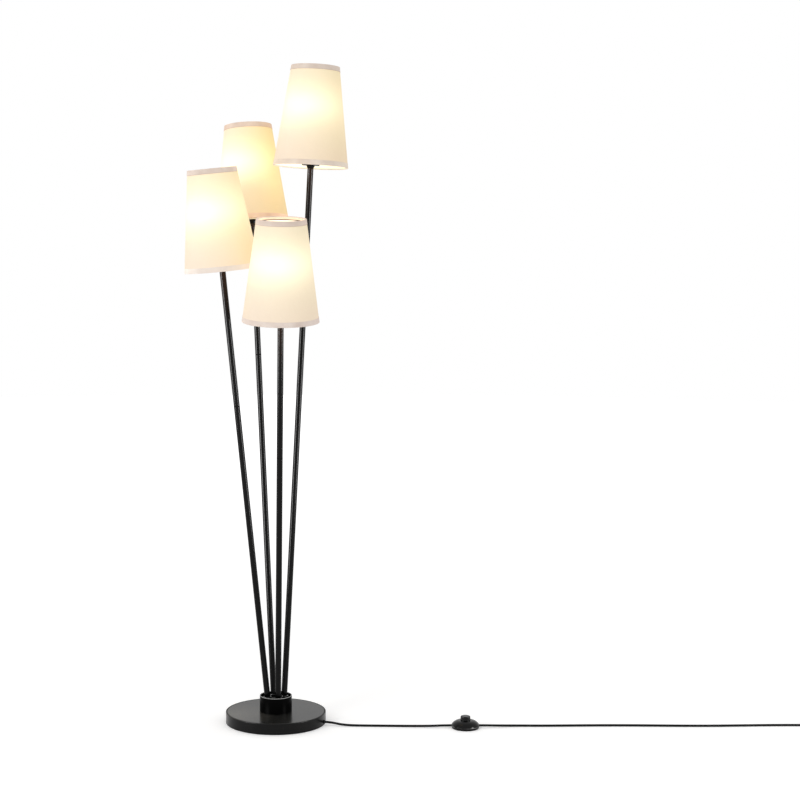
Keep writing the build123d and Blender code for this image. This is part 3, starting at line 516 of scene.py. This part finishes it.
lead_plastic = coated("lead_plastic", (0.72, 0.71, 0.66), (0.35, 0.45))
cord_plastic = coated(
    "cord_plastic", (0.003, 0.003, 0.003), (0.30, 0.40), grain=500.0, Specular_IOR_Level=PAINT_SPECULAR
)
socket_plastic = coated("socket_plastic", (0.022, 0.021, 0.020), (0.35, 0.45))
switch_plastic = switch_paint("switch_plastic")
button_plastic = coated(
    "button_plastic", (0.004, 0.004, 0.004), (0.18, 0.26), Specular_IOR_Level=SWITCH_SPECULAR
)
mechanism_plastic = coated("mechanism_plastic", (0.8, 0.8, 0.75), (0.4, 0.5))
plug_plastic = coated("plug_plastic", (0.014, 0.014, 0.014), (0.42, 0.52), grain=1200.0, depth=0.00006)
frame_white = coated("frame_white", (0.82, 0.81, 0.78), (0.35, 0.45))
tapes = {name: tape(f"tape_cloth_{name}", arms[name]) for name in ARMS}
bulb_glass = bulb_light("bulb_glass", (1.0, 0.85, 0.62), 4.0)
# How much painted warm light of the other shades each shade takes on its left and right side
NEIGHBOUR_LIGHT_SIDES = {"left": (0.0, 0.4), "rear": (0.0, 0.85), "front": (0.0, 0.10), "right": (0.0, 0.35)}
LEVELS = {"left": 1.12, "rear": 1.08, "front": 1.0, "right": 1.0}
cloths = {name: cloth(f"shade_cloth_{name}", arms[name], LEVELS[name], *NEIGHBOUR_LIGHT_SIDES[name]) for name in ARMS}


def dress(material, *names):
    """Give CAD nodes a material in place of their own."""
    for name in names:
        slots = nodes[name].data.materials
        slots.clear()
        slots.append(material)


def each(pattern):
    """A node name for each arm."""
    return [pattern.format(name) for name in ARMS]


dress(base_black, "base_shell")
dress(collar_black, "collar")
dress(holder_black, "pole_holder")
dress(pole_black, "shade_seats")
dress(cast_iron, "base_weight")
dress(steel, "base_plate", "plate_screws", "collar_screws", "threaded_nipples")
dress(steel, "switch_spring", "switch_screws")
dress(ferrule_black, "pole_ferrules")
dress(brass, "socket_contacts", "switch_terminals", "plug_blades")
dress(cap_metal, "bulb_caps")
dress(floor_felt, "base_pad")
dress(terminal_plastic, "terminal_block")
dress(lead_plastic, "lamp_leads")
dress(cord_plastic, "cord_bush", "cord_inner")
dress(socket_plastic, "shade_lock_rings", *each("socket_{}"))
dress(switch_plastic, "switch_base", "switch_cover")
dress(button_plastic, "switch_button")
dress(mechanism_plastic, "switch_mechanism", "switch_rotor")
dress(plug_plastic, "plug_body")
dress(frame_white, *each("shade_frame_{}"))
dress(bulb_glass, *each("bulb_{}"))
for name in ARMS:
    dress(cloths[name], f"shade_{name}")
    dress(poles[name], f"pole_lower_{name}", f"pole_upper_{name}")

# ---------------------------------------------------------------- pieces made from meshes


def mesh_piece(name, shape, material):
    """An object from a closed shape, with its faces turned outwards."""
    bmesh.ops.recalc_face_normals(shape, faces=shape.faces)
    mesh = bpy.data.meshes.new(name)
    shape.to_mesh(mesh)
    shape.free()
    mesh.materials.append(material)
    piece = bpy.data.objects.new(name, mesh)
    bpy.context.scene.collection.objects.link(piece)
    return piece


# ---------------------------------------------------------------- edge tapes of the shades


def top_tape_line():
    """The middle of the top tape as (radius, height) points: up outside, over the wire, down inside."""
    stand_off = TAPE_GAP + TAPE_THICKNESS / 2
    turn = TAPE_TURN_SHARE * stand_off
    wire_height = SHADE_HEIGHT - FRAME_WIRE_RADIUS - WIRE_GAP
    wire_radius = cone_radius(wire_height) - SHADE_WALL - FRAME_WIRE_RADIUS - WIRE_GAP
    line = [
        (cone_radius(SHADE_HEIGHT - TAPE_WIDTH) + stand_off, SHADE_HEIGHT - TAPE_WIDTH),
        (cone_radius(SHADE_HEIGHT) + stand_off, SHADE_HEIGHT - TAPE_TURN_START),
        (cone_radius(SHADE_HEIGHT) + turn, SHADE_HEIGHT + turn),
        (cone_radius(SHADE_HEIGHT), SHADE_HEIGHT + stand_off),
    ]
    over = FRAME_WIRE_RADIUS + stand_off
    for angle in range(90, 241, 15):
        line.append((wire_radius + over * cos(radians(angle)), wire_height + over * sin(radians(angle))))
    for depth in (TAPE_FOLD_MIDDLE * TAPE_FOLD, TAPE_FOLD):
        line.append((cone_radius(SHADE_HEIGHT - depth) - SHADE_WALL - stand_off, SHADE_HEIGHT - depth))
    return line


def bottom_tape_line():
    """The same for the bottom tape, which is folded over the shade's edge only."""
    stand_off = TAPE_GAP + TAPE_THICKNESS / 2
    turn = TAPE_TURN_SHARE * stand_off
    return [
        (cone_radius(TAPE_WIDTH) + stand_off, TAPE_WIDTH),
        (cone_radius(0) + stand_off, TAPE_TURN_START),
        (cone_radius(0) + turn, -turn),
        (cone_radius(0), -stand_off),
        (cone_radius(0) - SHADE_WALL, -stand_off),
    ]


def lathe_ribbon(shape, arm, line):
    """Turn a line's thickness about an arm's shade, as a closed ring with crisp ends."""
    half = TAPE_THICKNESS / 2
    sides = ([], [])
    for index, (radius, height) in enumerate(line):
        before, after = line[max(index - 1, 0)], line[min(index + 1, len(line) - 1)]
        way = Vector((after[0] - before[0], after[1] - before[1])).normalized()
        for side, sign in zip(sides, (1, -1)):
            side.append((radius + sign * way.y * half, height - sign * way.x * half))
    outline = sides[0] + sides[1][::-1]
    corners = {0, len(line) - 1, len(line), len(outline) - 1}
    rings = []
    for step in range(TAPE_SEGMENTS):
        azimuth = 2 * pi * step / TAPE_SEGMENTS
        rings.append([shape.verts.new(arm.at(radius, azimuth, height)) for radius, height in outline])
    for ring, following in zip(rings, rings[1:] + rings[:1]):
        for index in range(len(outline)):
            along = (index + 1) % len(outline)
            face = shape.faces.new((ring[index], following[index], following[along], ring[along]))
            face.smooth = True
        for index in corners:
            shape.edges.get((ring[index], following[index])).smooth = False


def tape_piece(arm):
    """Both edge tapes of one shade."""
    shape = bmesh.new()
    lathe_ribbon(shape, arm, top_tape_line())
    lathe_ribbon(shape, arm, bottom_tape_line())
    piece = mesh_piece(f"edge_tape_{arm.name}", shape, tapes[arm.name])
    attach(piece, "stand")
    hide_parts(f"shade_tape_{arm.name}")


for name in ARMS:
    tape_piece(arms[name])

# ---------------------------------------------------------------- mains lead


def polar(radius, azimuth, height):
    return Vector((radius * cos(radians(azimuth)), radius * sin(radians(azimuth)), height))


exit_point = polar(EXIT_RADIUS, EXIT_AZIMUTH, EXIT_HEIGHT)
base_route = [
    exit_point,
    polar(EXIT_RADIUS + EXIT_RUN, EXIT_AZIMUTH, EXIT_HEIGHT),
    Vector((0.1630, -0.0424, 0.0044)),
    Vector((0.1930, -0.0456, FLOOR_LIE)),
    Vector((0.2510, -0.0476, FLOOR_LIE)),
    Vector((0.3230, -0.0508, 0.0031)),
    Vector((0.3810, -0.0542, 0.0040)),
    Vector((0.4180, SWITCH_Y, SWITCH_CORD_HEIGHT)),
    Vector((SWITCH_X - SWITCH_REACH, SWITCH_Y, SWITCH_CORD_HEIGHT)),
]
plug_route = [
    Vector((SWITCH_X + SWITCH_REACH, SWITCH_Y, SWITCH_CORD_HEIGHT)),
    Vector((0.5210, SWITCH_Y, SWITCH_CORD_HEIGHT)),
    Vector((0.5530, -0.0518, 0.0044)),
    Vector((0.5980, -0.0466, FLOOR_LIE)),
    Vector((0.6680, -0.0480, FLOOR_LIE)),
    Vector((0.7470, -0.0454, FLOOR_LIE)),
    Vector((0.8300, -0.0438, FLOOR_LIE)),
    Vector((0.9140, -0.0452, FLOOR_LIE)),
    Vector((0.9980, -0.0483, FLOOR_LIE)),
    Vector((1.0800, -0.0488, FLOOR_LIE)),
    Vector((1.1600, -0.0452, FLOOR_LIE)),
    Vector((1.2360, -0.0422, FLOOR_LIE)),
    Vector((1.2960, -0.0420, FLOOR_LIE)),
    Vector((1.3202, COIL_ENTRY_Y, FLOOR_LIE)),
    Vector((COIL_X - 2 * CORD_RADIUS, COIL_ENTRY_Y, FLOOR_LIE)),
]


def coil_route():
    """The coil: inwards on the floor, up a layer in the half turn where it reverses, and out again."""
    step = 1 / COIL_POINTS_PER_QUARTER
    spread = 1 / (0.75 + 0.25 * cos(pi / 2 * step))  # a spline runs this much inside its points on a circle
    route = []
    for index in range(1, (QUARTERS_INWARDS + QUARTERS_OUTWARDS) * COIL_POINTS_PER_QUARTER):
        quarter = index * step
        after = quarter - QUARTERS_INWARDS
        radius = (COIL_INNER_RADIUS + COIL_PITCH * abs(after) / 4) * spread
        climb = min(max((after + 1) / 2, 0.0), 1.0)
        turned = polar(radius, 90 * quarter - 90, FLOOR_LIE + COIL_PITCH * climb)
        route.append(Vector((COIL_X, COIL_CENTRE_Y, 0)) + turned)
    exit_radius = COIL_INNER_RADIUS + COIL_PITCH * QUARTERS_OUTWARDS / 4
    last = Vector((COIL_X + exit_radius, COIL_CENTRE_Y, FLOOR_LIE + COIL_PITCH))
    return [*route, last, last + Vector((0, 2 * CORD_RADIUS, 0))]


def cord_piece(name, route):
    """A round cord along a smooth line with the route's points as its control points."""
    curve = bpy.data.curves.new(name, "CURVE")
    curve.dimensions = "3D"
    curve.bevel_depth = CORD_RADIUS
    curve.bevel_resolution = 5
    curve.resolution_u = 6
    curve.use_fill_caps = True
    spline = curve.splines.new("NURBS")
    spline.points.add(len(route) - 1)
    for point, place in zip(spline.points, route):
        point.co = (*place, 1)
    spline.order_u = 3
    spline.use_endpoint_u = True
    curve.materials.append(cord_plastic)
    piece = bpy.data.objects.new(name, curve)
    bpy.context.scene.collection.objects.link(piece)
    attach(piece, "stand")
    return piece


def coil_tie():
    """A strap round the coil's three strands on the side towards the lamp, with its end lapped over."""
    strands = [  # where they pass, by their quarter turns out from the innermost turn and by their layer
        (COIL_X - COIL_INNER_RADIUS - COIL_PITCH * quarters / 4, FLOOR_LIE + COIL_PITCH * layer)
        for quarters, layer in ((3, 0), (1, 1), (5, 1))
    ]

    def around(angle, stand_off):
        """A point on a taut line round the strands, which lies no lower than the floor allows."""
        way = (cos(angle), sin(angle))
        x, z = max(strands, key=lambda strand: strand[0] * way[0] + strand[1] * way[1])
        reach = CORD_RADIUS + stand_off
        return x + reach * way[0], max(z + reach * way[1], STRAP_FLOOR_GAP + stand_off)

    shape = bmesh.new()
    for first, last, inner in ((0, 360, STRAP_GAP), (*STRAP_LAP, STRAP_GAP + STRAP_THICKNESS)):
        outer = inner + STRAP_THICKNESS
        rings = []
        for degrees in range(first, last + 1, STRAP_STEP):
            corners = []
            for stand_off, side in ((inner, -1), (inner, 1), (outer, 1), (outer, -1)):
                x, z = around(radians(degrees), stand_off)
                corners.append(shape.verts.new((x, COIL_CENTRE_Y + side * STRAP_WIDTH / 2, z)))
            rings.append(corners)
        closed = last - first == 360
        if closed:
            bmesh.ops.delete(shape, geom=rings.pop(), context="VERTS")
        following = rings[1:] + (rings[:1] if closed else [])
        for ring, after in zip(rings, following):
            for index in range(4):
                along = (index + 1) % 4
                shape.faces.new((ring[index], after[index], after[along], ring[along])).smooth = True
                shape.edges.get((ring[index], after[index])).smooth = False
        if not closed:
            shape.faces.new(rings[0])
            shape.faces.new(rings[-1])
    tie = mesh_piece("coil_tie", shape, strap_fabric)
    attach(tie, "stand")
    return tie


def return_spring():
    """The switch's coil spring at rest; the real one shortens as the button goes down."""
    shape = bmesh.new()
    turns_up = [index / SPRING_STEPS for index in range(SPRING_TURNS * SPRING_STEPS + 1)]
    rings = []
    for turns in turns_up:
        azimuth = 2 * pi * turns
        height = SPRING_BOTTOM + (SPRING_TOP - SPRING_BOTTOM) * turns / SPRING_TURNS
        outwards = Vector((cos(azimuth), sin(azimuth), 0))
        centre = Vector((SWITCH_X, SWITCH_Y, height)) + outwards * SPRING_RADIUS
        ring = []
        for corner in range(SPRING_SIDES):
            angle = 2 * pi * corner / SPRING_SIDES
            off = outwards * cos(angle) + Vector((0, 0, 1)) * sin(angle)
            ring.append(shape.verts.new(centre + off * SPRING_WIRE_RADIUS))
        rings.append(ring)
    for ring, after in zip(rings, rings[1:]):
        for index in range(SPRING_SIDES):
            along = (index + 1) % SPRING_SIDES
            shape.faces.new((ring[index], after[index], after[along], ring[along])).smooth = True
    shape.faces.new(rings[0])
    shape.faces.new(rings[-1])
    spring = mesh_piece("return_spring", shape, steel)
    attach(spring, "stand")
    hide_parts("switch_spring")
    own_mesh(spring)
    return spring


base_cord = cord_piece("cord_to_switch", base_route)
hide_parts("cord_base_run")
return_spring()
plug_cord = cord_piece("cord_to_plug", plug_route + coil_route())
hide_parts("cord_plug_run", "cord_coil")
coil_tie()

# ---------------------------------------------------------------- stage, lights and camera

FLOOR_RADIUS = 9.0
FLOOR_SEGMENTS = 96
FLOOR_DROP = 0.05 * MM
LIGHT_LEVEL = 0.80  # of the world's white on the object
FLOOR_OWN_WHITE = (0.27, 0.60)  # what the floor adds by itself beside the object and far from it
FLOOR_WHITE_REACH = (0.5, 5.0)


def seen_rays(tree):
    """1 for camera, glossy and transmission rays, and 0 for the rays that light the object."""
    path = tree.nodes.new("ShaderNodeLightPath")
    total = path.outputs["Is Camera Ray"]
    for ray in ("Is Glossy Ray", "Is Transmission Ray"):
        adding = tree.nodes.new("ShaderNodeMath")
        adding.operation = "MAXIMUM"
        tree.links.new(total, adding.inputs[0])
        tree.links.new(path.outputs[ray], adding.inputs[1])
        total = adding.outputs[0]
    return total


def make_world():
    world = bpy.data.worlds.new("studio")
    world.use_nodes = True
    tree = world.node_tree
    background = tree.nodes["Background"]
    background.inputs["Color"].default_value = (1, 1, 1, 1)
    strength = tree.nodes.new("ShaderNodeMapRange")
    strength.inputs["To Min"].default_value = LIGHT_LEVEL
    strength.inputs["To Max"].default_value = 1.0
    tree.links.new(seen_rays(tree), strength.inputs["Value"])
    tree.links.new(strength.outputs[0], background.inputs["Strength"])
    bpy.context.scene.world = world


def make_floor():
    shape = bmesh.new()
    bmesh.ops.create_circle(shape, cap_ends=True, segments=FLOOR_SEGMENTS, radius=FLOOR_RADIUS)
    mesh = bpy.data.meshes.new("floor")
    shape.to_mesh(mesh)
    shape.free()
    floor = bpy.data.objects.new("floor", mesh)
    floor.location.z = -FLOOR_DROP
    bpy.context.scene.collection.objects.link(floor)
    made = Nodes("floor")
    grain = made.noise(3.0)
    made.shade(Base_Color=made.ramp(grain, (0.0, (0.86, 0.86, 0.86)), (1.0, (0.88, 0.88, 0.88))))
    made.shade(Roughness=0.9, Specular_IOR_Level=0.0, Emission_Color=(1, 1, 1, 1))
    away = made.add("VectorMath", {0: made.coordinates}, operation="LENGTH").outputs["Value"]
    reach = {"Value": away, "From Min": FLOOR_WHITE_REACH[0], "From Max": FLOOR_WHITE_REACH[1]}
    white = {"To Min": FLOOR_OWN_WHITE[0], "To Max": FLOOR_OWN_WHITE[1]}
    own = made.math("MULTIPLY", seen_rays(made.tree), made.add("MapRange", {**reach, **white}).outputs[0])
    made.shade(Emission_Strength=own)
    mesh.materials.append(made.material)


def soft_lamp(name, place, target, size, power, lights_all=True):
    """A rectangular lamp. One that doesn't light all is only seen in glossy surfaces, as a white card is."""
    light = bpy.data.lights.new(name, "AREA")
    light.shape = "RECTANGLE"
    light.size, light.size_y = size
    light.energy = power
    lamp = bpy.data.objects.new(name, light)
    lamp.location = place
    lamp.rotation_euler = (Vector(target) - Vector(place)).to_track_quat("-Z", "Y").to_euler()
    lamp.visible_diffuse = lights_all
    bpy.context.scene.collection.objects.link(lamp)


def make_camera():
    lens = bpy.data.cameras.new("camera")
    lens.sensor_width = SENSOR_WIDTH
    lens.lens = SENSOR_WIDTH * FOCAL_PIXELS / FRAME_SIDE
    lens.shift_x = (FRAME_SIDE / 2 - AXIS_PIXEL_X) / FRAME_SIDE
    camera = bpy.data.objects.new("camera", lens)
    camera.location = CAMERA_PLACE
    camera.rotation_euler = (radians(90 - CAMERA_PITCH), 0, 0)
    bpy.context.scene.collection.objects.link(camera)
    bpy.context.scene.camera = camera


make_world()
make_floor()
soft_lamp("key", (-2.8, -3.0, 2.4), (0, 0, 0.9), (1.6, 1.6), 40.0)
soft_lamp("card_left", (-3.2, -1.7, 1.2), (0, 0, 0.9), (1.7, 2.6), 330.0, lights_all=False)
soft_lamp("card_right", (3.2, -1.5, 1.2), (0, 0, 0.8), (1.2, 2.6), 230.0, lights_all=False)
make_camera()
bpy.context.scene.view_settings.view_transform = "Standard"
